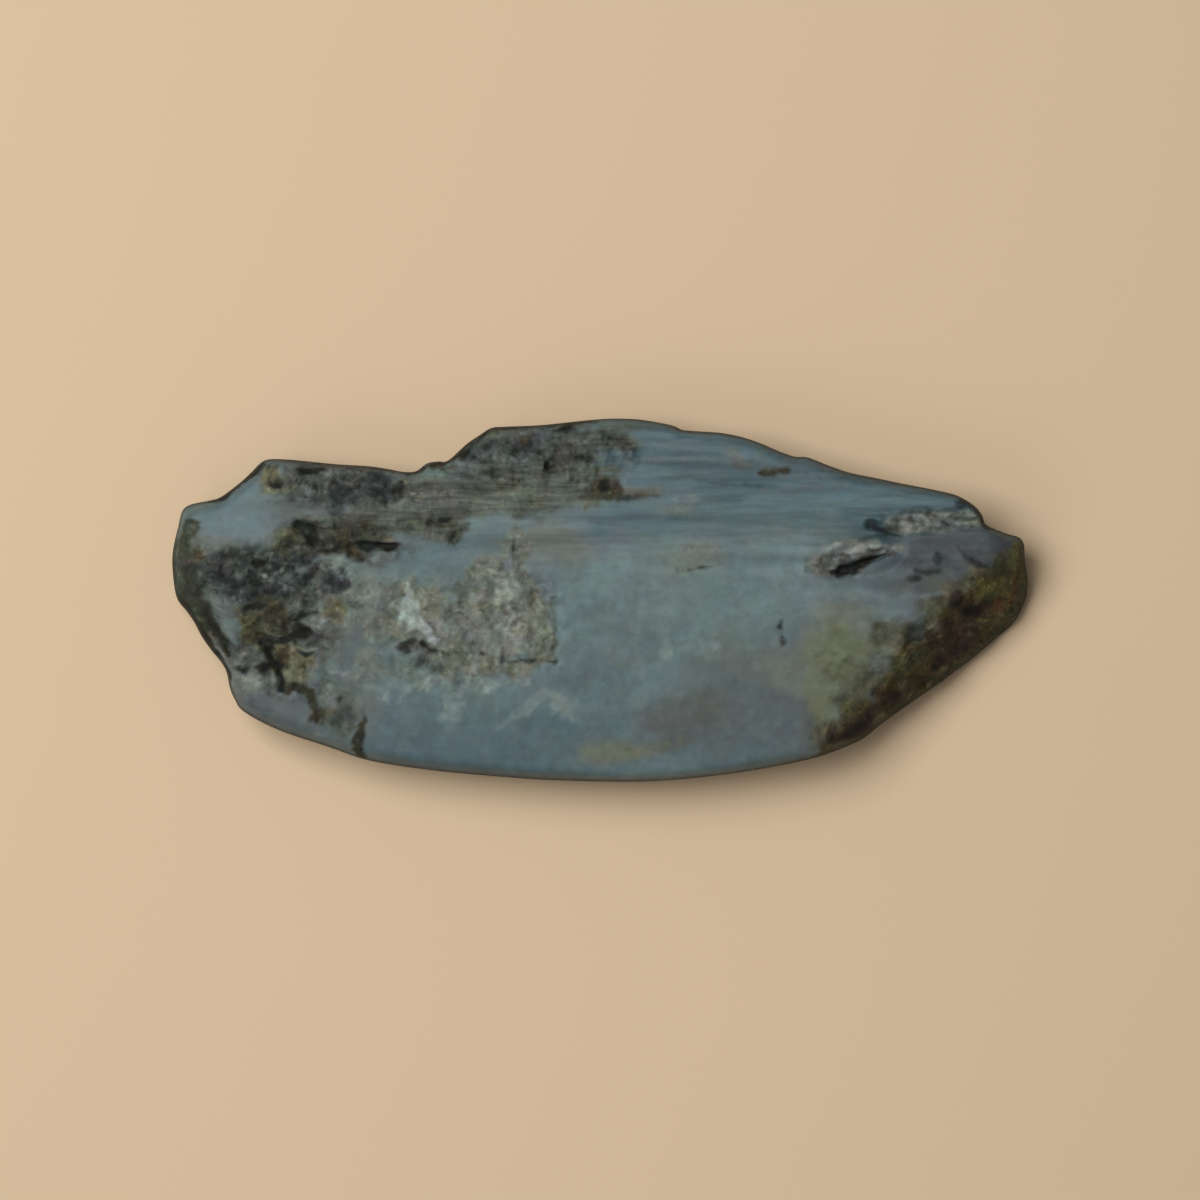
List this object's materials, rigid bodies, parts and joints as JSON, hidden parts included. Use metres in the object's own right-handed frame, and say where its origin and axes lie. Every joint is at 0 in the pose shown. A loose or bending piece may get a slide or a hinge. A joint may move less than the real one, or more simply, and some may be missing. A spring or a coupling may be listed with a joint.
{
  "type": "agate slice",
  "caption": "Worn slab of blue-grey agate with a satin show face, a crusted rim, a vug and a flat sawn base; it lies flat as a display or lapidary piece.",
  "frame": {"origin": "on the sawn face, at the middle of the stone's box", "axes": "+X along the stone's length towards the end with the ledge, +Y across it towards the edge with the step, +Z out of the broad show face"},
  "size_m": [0.09, 0.038, 0.0115],
  "materials": {
    "agate": "satin, water-worn blue-grey chalcedony with cream matrix, dark speckled patches and a brown-olive rind"
  },
  "bodies": {
    "root": {"agate_slice": "agate"}
  },
  "joints": []
}
